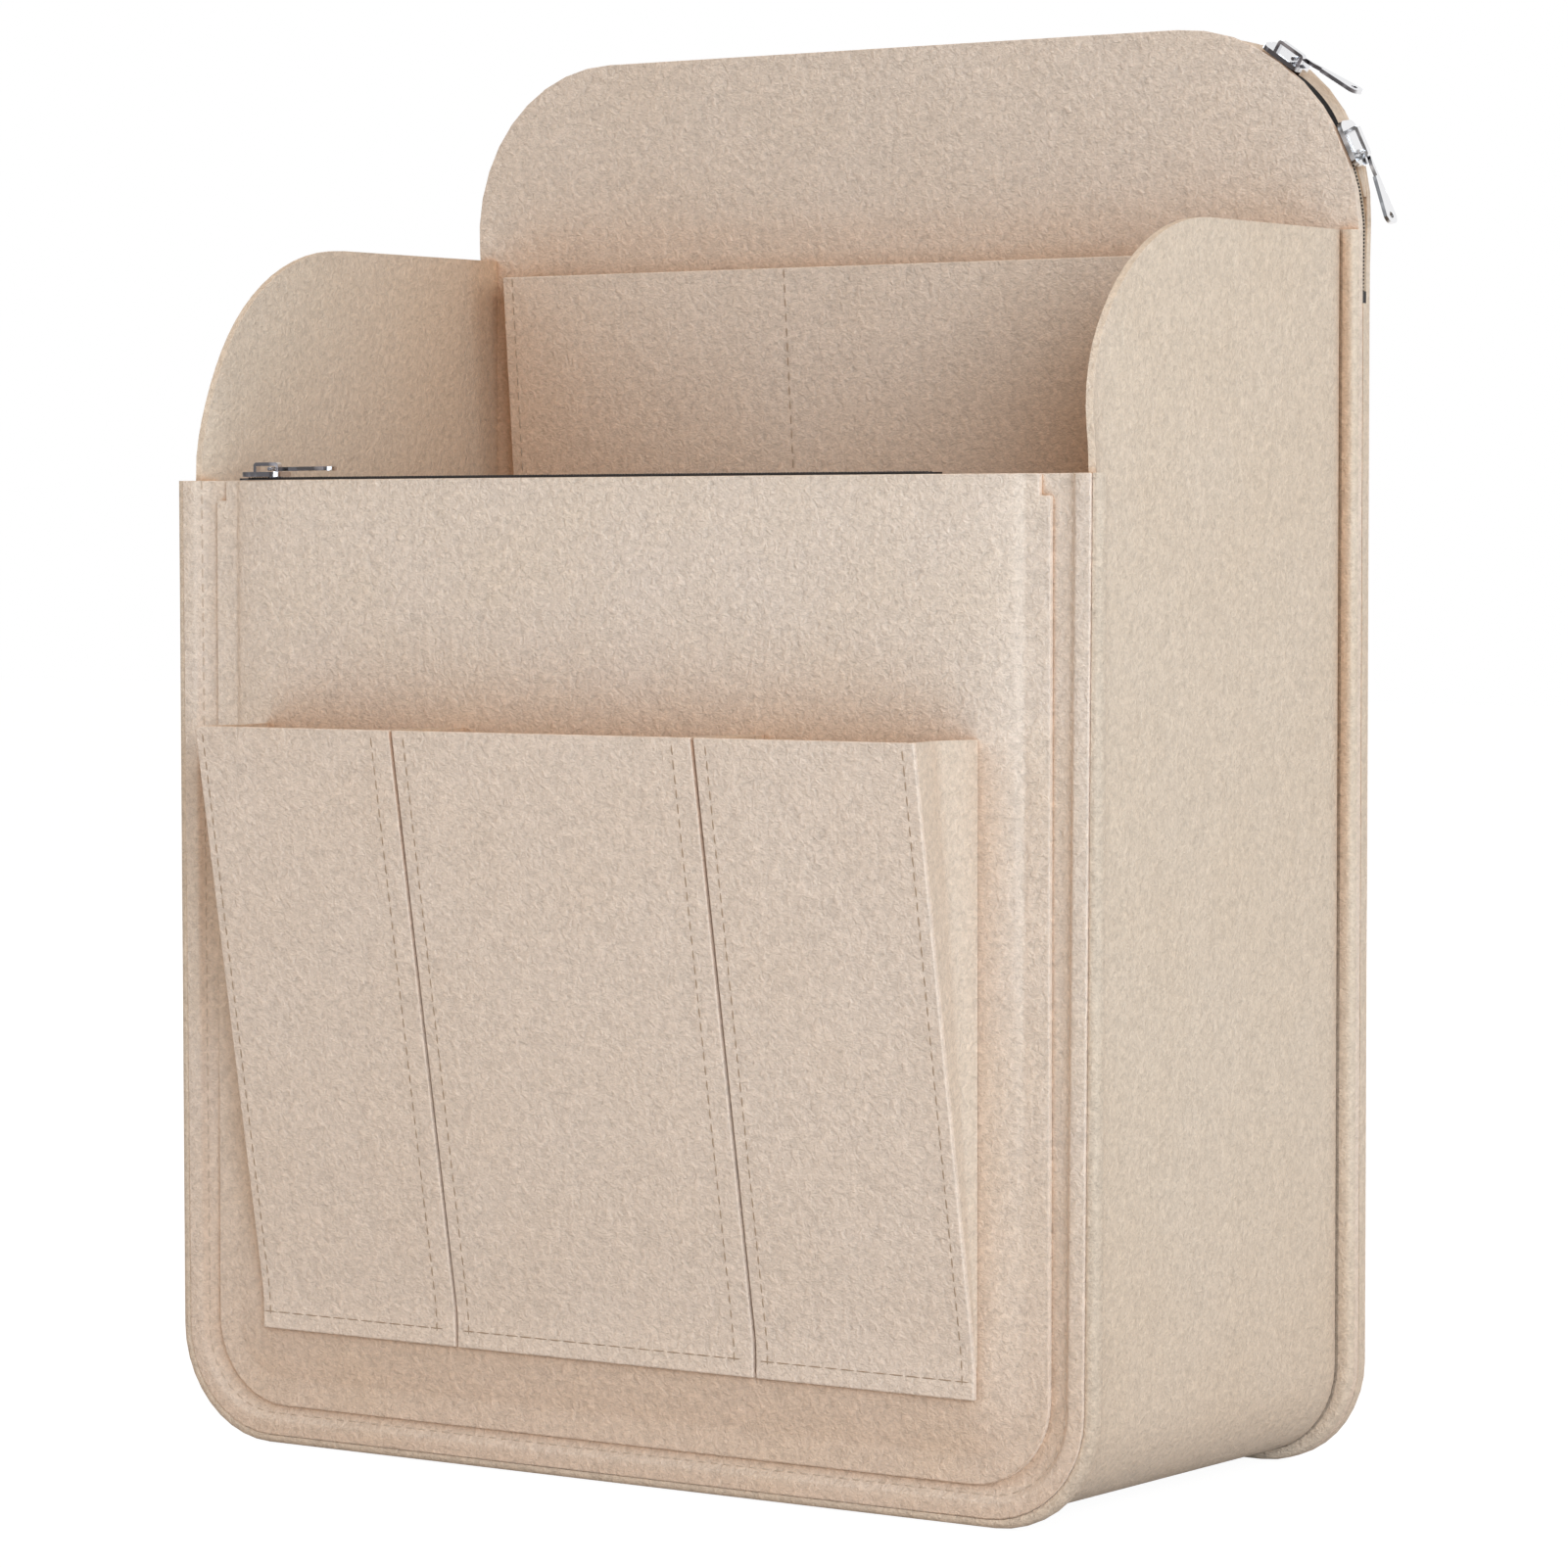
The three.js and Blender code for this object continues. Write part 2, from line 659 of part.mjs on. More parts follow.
// A pull: x along its length from the cross bar that lies under the slider's bridge
function pullSolid() {
  const half = pullWidth / 2;
  const tab = new THREE.Shape();
  tab.moveTo(0, -half);
  tab.absarc(pullLength - half, 0, half, -Math.PI / 2, Math.PI / 2, false);
  tab.lineTo(0, half);
  const flat = new THREE.ExtrudeGeometry(tab, {
    depth: pullBar * 2,
    bevelEnabled: false,
    curveSegments: 10,
  });
  flat.translate(0, 0, -pullBar);
  const eyeHalf = half - pullRail;
  const eye = block(pullBar, pullEye, -eyeHalf, eyeHalf, -half, half);
  const hole = new THREE.CylinderGeometry(pullHole, pullHole, pullWidth, 16);
  hole.rotateX(Math.PI / 2);
  hole.translate(pullLength - half, 0, 0);
  const crossBar = new THREE.CylinderGeometry(pullBar, pullBar, pullWidth, 12);
  return toSolid(flat).subtract(toSolid(eye)).subtract(toSolid(hole)).add(toSolid(crossBar));
}

// A slider and its pull, in a group that stands on the edge of the felt at its place
function zipRunner(name, openEnd, pullLift) {
  const runner = new THREE.Group();
  const plateUp = new THREE.Group();
  plateUp.position.z = runningGap;
  runner.add(plateUp);
  piece(plateUp, `${name}_slider`, sliderSolid(openEnd), chromeMaterial());
  const hinge = new THREE.Group();
  hinge.position.set(pullAxis, 0, sliderPlate + bridgeClear / 2);
  hinge.rotation.y = THREE.MathUtils.degToRad(-pullLift);
  plateUp.add(hinge);
  piece(hinge, `${name}_pull`, pullSolid(), chromeMaterial());
  return runner;
}

// Front slider, near the left end of the front zip, its pull lying to the right
{
  const runner = zipRunner('front_zip', 1, 0);
  runner.position.set(frontZipLeft + frontSliderPlace, frontZipMiddleY, frontZipTop);
  body.add(runner);
}

// Two sliders of the rear zip on the right shoulder, with the zip open between them
function onShoulder(runner, angle) {
  const centreZ = backHeight - shoulderRadius;
  const leaning = new THREE.Group();
  leaning.position.set(width / 2 - shoulderRadius, rearZipMiddleY - leanAt(centreZ), centreZ);
  leaning.rotation.x = leanAngle;
  const turn = new THREE.Group();
  turn.rotation.y = THREE.MathUtils.degToRad(angle);
  runner.position.z = leaningRadius;
  turn.add(runner);
  leaning.add(turn);
  body.add(leaning);
}

onShoulder(zipRunner('upper_zip', 1, upperPullLift), upperSliderAngle);
onShoulder(zipRunner('lower_zip', -1, 0), lowerSliderAngle);

export default organizer;
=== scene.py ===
import math

import bmesh
import bpy
import numpy as np
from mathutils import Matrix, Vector


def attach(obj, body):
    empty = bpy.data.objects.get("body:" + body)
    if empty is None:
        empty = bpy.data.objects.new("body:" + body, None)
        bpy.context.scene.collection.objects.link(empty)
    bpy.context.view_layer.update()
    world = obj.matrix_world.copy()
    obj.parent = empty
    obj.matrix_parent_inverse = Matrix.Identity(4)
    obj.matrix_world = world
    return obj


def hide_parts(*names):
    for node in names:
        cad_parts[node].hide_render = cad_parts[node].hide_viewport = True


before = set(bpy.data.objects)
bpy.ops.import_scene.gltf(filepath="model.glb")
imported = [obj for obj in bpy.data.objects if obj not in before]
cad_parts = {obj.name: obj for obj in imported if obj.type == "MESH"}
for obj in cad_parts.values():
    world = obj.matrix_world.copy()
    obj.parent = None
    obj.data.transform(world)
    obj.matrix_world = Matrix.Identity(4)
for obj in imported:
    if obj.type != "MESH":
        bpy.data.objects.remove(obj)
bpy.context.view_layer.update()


# Camera: to the right of the front, about level with the rim of the front panel and tilted a little
# down, through a long lens.
def new_object(name, data):
    made = bpy.data.objects.new(name, data)
    bpy.context.scene.collection.objects.link(made)
    return made


camera_tilt = 2.422
camera_turn = 35.0207
camera_data = bpy.data.cameras.new("camera")
camera_data.sensor_width = 36
camera_data.lens = 128.346
camera = new_object("camera", camera_data)
camera.location = (0.79981, -1.07211, 0.22479)
camera.rotation_euler = (math.radians(90 - camera_tilt), 0, math.radians(camera_turn))
bpy.context.scene.camera = camera
bpy.context.scene.view_settings.view_transform = "Standard"


# Studio: a pale floor, an even surround and four large soft lamps. The floor and the surround show white
# to the camera and in the metal, while on the felt the surround's light is warm and the lamps' is cool.
class Value:
    """A node's output. Arithmetic on it, with another output or a number, adds Math nodes."""

    def __init__(self, nodes, socket):
        self.nodes = nodes
        self.socket = socket

    def combine(self, operation, first, second):
        return self.nodes.node("ShaderNodeMath", {"operation": operation}, {0: first, 1: second})

    def __add__(self, other):
        return self.combine("ADD", self, other)

    def __sub__(self, other):
        return self.combine("SUBTRACT", self, other)

    def __rsub__(self, other):
        return self.combine("SUBTRACT", other, self)

    def __mul__(self, other):
        return self.combine("MULTIPLY", self, other)

    __radd__ = __add__
    __rmul__ = __mul__


class Nodes:
    """A node tree being built. node() adds one: its type, its settings, then its inputs' values or links."""

    def __init__(self, tree):
        self.tree = tree
        self.tree.nodes.clear()

    def node(self, kind, settings, inputs, result=0):
        node = self.tree.nodes.new(kind)
        for name, value in settings.items():
            setattr(node, name, value)
        for name, value in inputs.items():
            if isinstance(value, Value):
                self.tree.links.new(value.socket, node.inputs[name])
            else:
                node.inputs[name].default_value = value
        return Value(self, node.outputs[result]) if node.outputs else None

    def place(self):
        """Where a point lies on the object, in metres."""
        return self.node("ShaderNodeTexCoord", {}, {}, "Object")

    def noise(self, place, scale, detail, roughness=0.5, distortion=0.0):
        inputs = {"Vector": place, "Scale": scale, "Detail": detail, "Roughness": roughness}
        inputs["Distortion"] = distortion
        return self.node("ShaderNodeTexNoise", {}, inputs, "Fac")

    def ramp(self, value, start, end, low=0.0, high=1.0, kind="LINEAR"):
        """low where the value is at its start, high where it is at its end."""
        inputs = {"Value": value, "From Min": start, "From Max": end, "To Min": low, "To Max": high}
        return self.node("ShaderNodeMapRange", {"interpolation_type": kind}, inputs)

    def mix(self, factor, first, second):
        """A colour between two others, each of them a plain colour or a node's output."""
        first, second = (part if isinstance(part, Value) else (*part, 1) for part in (first, second))
        settings = {"data_type": "RGBA", "clamp_factor": True}
        return self.node("ShaderNodeMix", settings, {0: factor, 6: first, 7: second}, 2)

    def bump(self, height, strength, distance):
        inputs = {"Height": height, "Strength": strength, "Distance": distance}
        return self.node("ShaderNodeBump", {}, inputs)

    def surface(self, inputs):
        shader = self.node("ShaderNodeBsdfPrincipled", {}, inputs)
        self.node("ShaderNodeOutputMaterial", {}, {"Surface": shader})


def new_material(name):
    material = bpy.data.materials.new(name)
    material.use_nodes = True
    return material, Nodes(material.node_tree)


def studio_surround():
    world = bpy.data.worlds.new("surround")
    world.use_nodes = True
    nodes = Nodes(world.node_tree)
    camera_ray = nodes.node("ShaderNodeLightPath", {}, {}, "Is Camera Ray")
    glossy_ray = nodes.node("ShaderNodeLightPath", {}, {}, "Is Glossy Ray")
    transmission_ray = nodes.node("ShaderNodeLightPath", {}, {}, "Is Transmission Ray")
    seen = nodes.node(
        "ShaderNodeMath",
        {"operation": "ADD", "use_clamp": True},
        {0: camera_ray + glossy_ray, 1: transmission_ray},
    )
    light = nodes.node("ShaderNodeBackground", {}, {"Color": (1.0, 0.74, 0.53, 1), "Strength": 0.64})
    white = nodes.node("ShaderNodeBackground", {}, {"Color": (1, 1, 1, 1), "Strength": 1.0})
    mix = nodes.node("ShaderNodeMixShader", {}, {0: seen, 1: light, 2: white})
    nodes.node("ShaderNodeOutputWorld", {}, {"Surface": mix})
    bpy.context.scene.world = world


def studio_floor():
    material, nodes = new_material("floor_paint")
    camera_ray = nodes.node("ShaderNodeLightPath", {}, {}, "Is Camera Ray")
    glossy_ray = nodes.node("ShaderNodeLightPath", {}, {}, "Is Glossy Ray")
    seen = (camera_ray + glossy_ray) * 0.75
    paint = nodes.node("ShaderNodeBsdfDiffuse", {}, {"Color": (0.55, 0.55, 0.55, 1)})
    glow = nodes.node("ShaderNodeEmission", {}, {"Color": (1, 1, 1, 1), "Strength": 1.27})
    mix = nodes.node("ShaderNodeMixShader", {}, {0: seen, 1: paint, 2: glow})
    nodes.node("ShaderNodeOutputMaterial", {}, {"Surface": mix})
    reach = 6.0
    floor_z = -0.0003
    corners = [(-reach, -reach), (reach, -reach), (reach, reach), (-reach, reach)]
    mesh = bpy.data.meshes.new("floor")
    mesh.from_pydata([(x, y, floor_z) for x, y in corners], [], [(0, 1, 2, 3)])
    mesh.materials.append(material)
    floor = new_object("floor", mesh)


def soft_light(name, place, size, power):
    light_data = bpy.data.lights.new(name, "AREA")
    light_data.shape = "DISK"
    light_data.size = size
    light_data.energy = power
    light_data.color = (0.75, 0.88, 1.0)
    light = new_object(name, light_data)
    light.location = place
    middle = Vector((0, 0.05, 0.17))
    aim = middle - Vector(place)
    light.rotation_euler = aim.to_track_quat("-Z", "Y").to_euler()


studio_surround()
studio_floor()
soft_light("key_light", (1.4, -1.4, 0.5), 0.9, 26)
soft_light("left_light", (-1.3, -1.6, 0.7), 1.2, 2.9)
soft_light("side_light", (1.9, -0.5, 0.7), 0.9, 8.3)
soft_light("back_light", (-1.1, 1.7, 0.7), 1.2, 24)


# Front panel: one flat piece of 2 mm wool felt with rounded lower corners, cut square at the top and
# pressed in along the seam that joins it to the gusset, so that its rim stands proud of its field.
def felt_finish(name, pale, warm, grain, floor_painted_shade, crease_painted_shade=0.35):
    """Pressed wool felt: a little cloudy, with a mottled pile and short fibres, and painted shade, darker and
    warmer, where it is shut in. floor_painted_shade is how much of that painted shade it keeps close to what
    it stands on, and crease_painted_shade how much painted shade a narrow crease has."""
    material, nodes = new_material(name)
    place = nodes.place()
    stretched = nodes.node("ShaderNodeMapping", {}, {"Vector": place, "Scale": (0.55, 1.0, 1.0)})
    patches = nodes.noise(place, 34, 2)
    mottle = nodes.noise(place, 230, 3, 0.6)
    pile = nodes.noise(place, 620, 3, 0.65, 0.6)
    fibres = nodes.noise(stretched, 1500, 2, 0.6, 1.2)
    tint = nodes.mix(nodes.ramp(patches * 0.75 + mottle * 0.25, 0.3, 0.7), pale, warm)

    # Painted light per face: paler where a cut edge gets a painted highlight, darker where a seam gets
    # painted shade.
    painted_light_tone = nodes.node("ShaderNodeAttribute", {"attribute_name": "painted_light_tone"}, {}, "Fac")
    # Faces with a painted highlight get less of the painted shade.
    paler = nodes.node("ShaderNodeMath", {"operation": "MAXIMUM"}, {0: painted_light_tone, 1: 0.0})
    # Painted shade: where ambient occlusion finds the felt shut in or creased, its colour is mixed towards a
    # darker, warmer one, less so near the floor.
    shade_occlusion = 1 - nodes.node("ShaderNodeAmbientOcclusion", {"samples": 8}, {"Distance": 0.16}, "AO")
    crease = 1 - nodes.node("ShaderNodeAmbientOcclusion", {"samples": 4}, {"Distance": 0.004}, "AO")
    height_over_floor = nodes.node("ShaderNodeSeparateXYZ", {}, {"Vector": place}, "Z")
    painted_shade_gate = nodes.ramp(height_over_floor, 0.1, 0.18, low=floor_painted_shade)
    depth = nodes.ramp(shade_occlusion, 0.19, 0.6, high=0.78)
    painted_shade_colour = tuple(part * share for part, share in zip(warm, (0.79, 0.54, 0.36)))
    painted_shade = (depth * painted_shade_gate + crease * crease * crease_painted_shade) * (1 - paler * 0.3)
    tint_with_painted_shade = nodes.mix(painted_shade, tint, painted_shade_colour)

    flecks = (mottle - 0.5) * 0.1 * grain + (pile - 0.5) * 0.42 * grain + (fibres - 0.5) * 0.3 * grain
    # The grain's flecks, with the painted highlight or painted shade of each face added.
    shade = flecks + 1.0 + painted_light_tone * 0.07
    colour = nodes.node("ShaderNodeVectorMath", {"operation": "SCALE"}, {0: tint_with_painted_shade, "Scale": shade})
    nodes.surface({
        "Base Color": colour,
        "Roughness": 0.92,
        "Specular IOR Level": 0.15,
        "Sheen Weight": 0.22,
        "Sheen Roughness": 0.55,
        "Sheen Tint": (1.0, 0.93, 0.85, 1),
        "Normal": nodes.bump(mottle * 0.5 + pile * 0.6 + fibres * 0.3, 0.7, 0.0014),
    })
    return material


millimetre = 0.001


def felt_mesh(name, points, faces, tones):
    """A closed shape from points in millimetres, with a painted light value for each face. Values above 0
    paint a face paler and less warm, a painted highlight on cut edges, and values below 0 paint it darker, a
    painted shade in seams."""
    mesh = bpy.data.meshes.new(name)
    mesh.from_pydata((np.array(points, float) * millimetre).tolist(), [], faces)
    painted_light_tone = mesh.attributes.new("painted_light_tone", "FLOAT", "FACE")
    painted_light_tone.data.foreach_set("value", tones)
    shell = bmesh.new()
    shell.from_mesh(mesh)
    bmesh.ops.delete(shell, geom=[v for v in shell.verts if not v.link_faces], context="VERTS")
    bmesh.ops.recalc_face_normals(shell, faces=shell.faces)
    shell.to_mesh(mesh)
    shell.free()
    mesh.shade_smooth()
    return new_object(name, mesh)


def round_edges(piece, radius, segments, sharp_from, harden):
    rounded = piece.modifiers.new("rounded_edges", "BEVEL")
    rounded.width = radius * millimetre
    rounded.segments = segments
    rounded.limit_method = "ANGLE"
    rounded.angle_limit = math.radians(sharp_from)
    rounded.harden_normals = harden


def felt_piece(name, front, back, faces, cut_radius=0.45, tones=None, cut_edge_highlight=1.0):
    """A piece of felt from the grids of its two faces, with rounded cut edges between them."""
    count = len(front)
    sides = {(a, b) for face in faces for a, b in zip(face, face[1:] + face[:1])}
    rim = [(b, a, a + count, b + count) for a, b in sorted(sides) if (b, a) not in sides]
    behind = [tuple(i + count for i in reversed(face)) for face in faces]
    plain = [0.0] * len(faces)
    # The rim faces of the cut edges get cut_edge_highlight as a painted highlight.
    all_tones = (tones or plain) + plain + [cut_edge_highlight] * len(rim)
    piece = felt_mesh(name, [*front, *back], [*faces, *behind, *rim], all_tones)
    round_edges(piece, cut_radius, 3, 50, True)
    return piece


def dress(piece, material, nodes=()):
    piece.data.materials.clear()
    piece.data.materials.append(material)
    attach(piece, "insert")
    if nodes:
        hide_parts(*nodes)


def side_line(cut, inset, levels):
    """The left side of a cut shape, this far in from its edge, from its top down to where its base begins."""
    line = []
    arc_steps = 10
    half = cut["half"]
    foot = cut["foot"]
    shoulder = cut["shoulder"]
    for step in range(arc_steps if shoulder else 0):
        turn = 0.5 * math.pi * step / arc_steps
        reach = shoulder - inset
        x = shoulder - half - reach * math.sin(turn)
        line.append((x, cut["top"] - shoulder + reach * math.cos(turn)))
    line.extend((inset - half, z) for z in levels)
    for step in range(1, arc_steps + 1):
        turn = 0.5 * math.pi * step / arc_steps
        reach = foot - inset
        x = foot - half - reach * math.cos(turn)
        line.append((x, cut["bottom"] + foot - reach * math.sin(turn)))
    narrowing = cut.get("narrowing", 0) / cut["top"]
    return [(x + narrowing * (cut["top"] - z), z) for x, z in line]


def side_levels(cut, count, extra=()):
    """Heights of the points on the straight part of a side."""
    high = cut["top"] - cut["shoulder"]
    low = cut["bottom"] + cut["foot"]
    return sorted({*np.linspace(high, low, count + 1).tolist(), *extra}, reverse=True)


def panel_grid(cut, insets, levels, columns):
    """Points (x, z, inset) and faces of a panel: lines run round it at the insets, and rows fill its
    middle."""
    points = []
    faces = []

    def add(x, z, inset):
        points.append((x, z, inset))
        return len(points) - 1

    lines = [side_line(cut, inset, levels) for inset in insets]
    rings = range(len(insets))
    rows = range(len(lines[0]))
    left = [[add(*lines[k][i], insets[k]) for k in rings] for i in rows]
    right = [[add(-lines[k][i][0], lines[k][i][1], insets[k]) for k in rings] for i in rows]
    middle = []
    for i in rows:
        x, z = lines[-1][i]
        between = [add(x - 2 * x * c / columns, z, insets[-1]) for c in range(1, columns)]
        middle.append([left[i][-1], *between, right[i][-1]])
    for i in rows[:-1]:
        for k in rings[:-1]:
            faces.append((left[i][k], left[i][k + 1], left[i + 1][k + 1], left[i + 1][k]))
            faces.append((right[i][k + 1], right[i][k], right[i + 1][k], right[i + 1][k + 1]))
        for c in range(columns):
            faces.append((middle[i][c], middle[i][c + 1], middle[i + 1][c + 1], middle[i + 1][c]))

    def straight_edge(row, upward):
        previous = middle[row]
        for k in reversed(rings[:-1]):
            x, z = lines[k][row]
            between = [add(x - 2 * x * c / columns, z, insets[k]) for c in range(1, columns)]
            line = [left[row][k], *between, right[row][k]]
            for c in range(columns):
                quad = (previous[c], previous[c + 1], line[c + 1], line[c])
                faces.append(quad[::-1] if upward else quad)
            previous = line

    straight_edge(rows[-1], False)
    if cut["shoulder"]:
        straight_edge(0, True)
    return points, faces


# The felt finishes are lit and shaded copies of one felt: each part has its base colours set a little lighter
# or darker and its own share of painted shade near the floor and in creases.
front_felt = felt_finish("front_felt", (0.715, 0.635, 0.56), (0.705, 0.615, 0.52), 1.7, 0.7, 0.12)
front_high = 241.6
front_cut = {"half": 134.7, "bottom": 2.3, "top": front_high, "foot": 25.7, "shoulder": 0, "narrowing": 1.8}
front_insets = (0, 0.7, 1.8, 3.5, 4.0, 4.6, 5.2, 6.2, 7.4, 10)
outside_steps = (0, 3.5, 4.0, 4.6, 5.2, 7.4)
outside_depths = (-3, -3, -2.85, -2.35, -1.8, -1)
inside_steps = (0, 5.2, 6.2, 7.4)
inside_depths = (-1, -1, -0.4, 1)
grid, faces = panel_grid(front_cut, front_insets, side_levels(front_cut, 16), 16)
front = [(x, np.interp(inset, outside_steps, outside_depths), z) for x, z, inset in grid]
back = [(x, np.interp(inset, inside_steps, inside_depths), z) for x, z, inset in grid]
# A stronger painted highlight on the cut edges of the front panel and the patch.
painted_cut_highlight = 2.4
piece = felt_piece("front_felt_panel", front, back, faces, 0.35, cut_edge_highlight=painted_cut_highlight)
dress(piece, front_felt, ["front_panel"])


# Seam of the front panel: a lockstitch in beige polyester thread that joins the panel to the gusset's
# turned edge. It lies sunk in the groove just inside the rim.
def beads_along_lines():
    """Geometry nodes that lay one small rounded bead after another along lines, for thread and zip teeth."""
    tree = bpy.data.node_groups.new("beads_along_lines", "GeometryNodeTree")
    inputs = {"Lines": "NodeSocketGeometry", "Pitch": "NodeSocketFloat", "Size": "NodeSocketVector"}
    for name, kind in inputs.items():
        tree.interface.new_socket(name, in_out="INPUT", socket_type=kind)
    tree.interface.new_socket("Beads", in_out="OUTPUT", socket_type="NodeSocketGeometry")
    nodes = Nodes(tree)

    def given(name):
        return nodes.node("NodeGroupInput", {}, {}, name)

    curve = nodes.node("GeometryNodeMeshToCurve", {}, {"Mesh": given("Lines")})
    points = nodes.node(
        "GeometryNodeResampleCurve",
        {"mode": "LENGTH"},
        {"Curve": curve, "Length": given("Pitch")},
    )
    along = nodes.node("GeometryNodeInputTangent", {}, {})
    turned = nodes.node("FunctionNodeAlignRotationToVector", {"axis": "X"}, {"Vector": along})
    bead = nodes.node("GeometryNodeMeshUVSphere", {}, {"Segments": 8, "Rings": 5, "Radius": 0.5})
    laid = nodes.node(
        "GeometryNodeInstanceOnPoints",
        {},
        {"Points": points, "Instance": bead, "Rotation": turned, "Scale": given("Size")},
    )
    real = nodes.node("GeometryNodeRealizeInstances", {}, {"Geometry": laid})
    nodes.node("NodeGroupOutput", {}, {"Beads": real})
    return tree


bead_tree = beads_along_lines()


def beads(name, lines, pitch, size):
    """A piece of beads along lines of points; all lengths are in millimetres."""
    points = [Vector(point) * millimetre for line in lines for point in line]
    edges = []
    start = 0
    for line in lines:
        edges.extend((start + i, start + i + 1) for i in range(len(line) - 1))
        start += len(line)
    guide_mesh = bpy.data.meshes.new(name + "_lines")
    guide_mesh.from_pydata(points, edges, [])
    guide = new_object(name + "_lines", guide_mesh)
    modifier = guide.modifiers.new("beads", "NODES")
    modifier.node_group = bead_tree
    sockets = {item.name: item.identifier for item in bead_tree.interface.items_tree}
    modifier[sockets["Pitch"]] = pitch * millimetre
    modifier[sockets["Size"]] = [length * millimetre for length in size]
    evaluated = guide.evaluated_get(bpy.context.evaluated_depsgraph_get())
    mesh = bpy.data.meshes.new_from_object(evaluated)
    bpy.data.objects.remove(guide)
    mesh.name = name
    mesh.shade_smooth()
    return new_object(name, mesh)


def scaled(colour, share):
    return tuple(share * part for part in colour)


def thread_finish(name, colour):
    """Twisted polyester thread: fine ply marks and a faint gloss."""
    material, nodes = new_material(name)
    ply = nodes.noise(nodes.place(), 2600, 1)
    tint = nodes.mix(ply, scaled(colour, 0.72), colour)
    relief = nodes.bump(ply, 0.4, 0.0002)
    nodes.surface({"Base Color": tint, "Roughness": 0.6, "Specular IOR Level": 0.3, "Normal": relief})
    return material


thread = thread_finish("thread", (0.4, 0.3, 0.21))
pale_thread = thread_finish("pale_thread", (0.6, 0.5, 0.4))


def round_line(cut, inset, levels, y):
    """A line of points round a panel that is open at the top, from its top left to its top right corner."""
    down = side_line(cut, inset, levels)
    return [(x, y, z) for x, z in down] + [(-x, y, z) for x, z in reversed(down)]


seam_line = round_line(front_cut, 5.4, [240.5, 28.0], -1.76)
dress(beads("front_seam_stitches", [seam_line], 3.7, (2.4, 0.4, 0.3)), pale_thread)


# Gusset: one long band of felt that makes the side walls, the base and the two wings. Its edges are
# turned out into a flange at each seam, and the wings' upper front corners are cut round.
def swept_band(name, lines, tones=None):
    """A closed band of felt through lines of points of equal length, the first joined to the last.
    There may be one painted light tone for each strip between two lines."""
    points = [point for line in lines for point in line]
    length = len(lines[0])
    count = len(lines)
    faces = []
    for s in range(count):
        t = (s + 1) % count
        for i in range(length - 1):
            faces.append((s * length + i, s * length + i + 1, t * length + i + 1, t * length + i))
    faces.append(tuple(s * length for s in range(count)))
    faces.append(tuple(s * length + length - 1 for s in reversed(range(count))))
    strip_tones = [tone for tone in tones or [0.0] * count for i in range(length - 1)]
    piece = felt_mesh(name, points, faces, [*strip_tones, 0.0, 0.0])
    piece.data.set_sharp_from_angle(angle=math.radians(40))
    return piece


def grid_faces(rows, columns):
    """Faces between the points of a grid that lie row after row."""
    return [
        (j * columns + i, j * columns + i + 1, (j + 1) * columns + i + 1, (j + 1) * columns + i)
        for j in range(rows - 1)
        for i in range(columns - 1)
    ]


def part_way(value, start, end):
    """How far a value has come from the start to the end, from 0 to 1."""
    return min(1, max(0, (value - start) / (end - start)))


gusset_felt = felt_finish("gusset_felt", (0.675, 0.59, 0.49), (0.665, 0.57, 0.46), 1.6, 0.28)
felt_depth = 2
wing_top = 301.7
wing_centre_y = 55
wing_radius = 54
wing_low = wing_top - wing_radius
wing_steps = 18
wing_turns = [0.5 * math.pi * step / wing_steps for step in range(wing_steps + 1)]
wall_cut = {"half": 131.2, "bottom": 2.5, "top": wing_top, "foot": 23, "shoulder": 0}
wall_depths = [wing_centre_y - wing_radius * math.cos(turn) for turn in wing_turns]
wall_depths += [60, 68, 78, 88, 98, 106, 112, 116.1, 116.5, 116.9, 117.1, 119.2]


def wall_top(y):
    """Height of the wings' edge above the seam at this depth."""
    if y >= wing_centre_y:
        return wing_top
    return wing_low + math.sqrt(max(0, wing_radius**2 - (wing_centre_y - y) ** 2))


def wall_spread(y, z):
    """The wall leans out towards the turned edge at the front, less so up the wing and near the base."""
    most = 2.6
    return most * part_way(y, 10, 1) ** 2 * part_way(z, 290, 245) ** 2 * part_way(z, 8, 48)


def wall_dip(y):
    """The wall's rear edge rolls in where the rear seam pulls it tight."""
    return np.interp(y, (116.1, 116.5, 116.9, 117.1), (0, 0.15, 0.6, 1.5))


def wall_face(inset):
    """Points on the wall's outer face, or this far in from it, from one wing down round the base and up."""
    points = []
    for y in wall_depths:
        high = wall_top(y)
        low = wall_cut["bottom"] + wall_cut["foot"]
        levels = [high + (low - high) * share for share in np.linspace(0, 1, 22).tolist()]
        line = side_line(wall_cut, max(inset, wall_dip(y)), levels)
        down = [(x - wall_spread(y, z), z) for x, z in line]
        points.extend([(x, y, z) for x, z in down] + [(-x, y, z) for x, z in reversed(down)])
    return points


outside = wall_face(0)
across = len(outside) // len(wall_depths)
# Painted shade: the wall's strips next to the rear seam are darkened as a seam shadow.
seam_shade_from = 116.5
painted_seam_shade = -6.0
tones = [painted_seam_shade if y >= seam_shade_from else 0.0 for y in wall_depths[:-1] for i in range(across - 1)]
faces = grid_faces(len(wall_depths), across)
piece = felt_piece("gusset_wall", outside, wall_face(felt_depth), faces, tones=tones)
dress(piece, gusset_felt, ["gusset_band"])


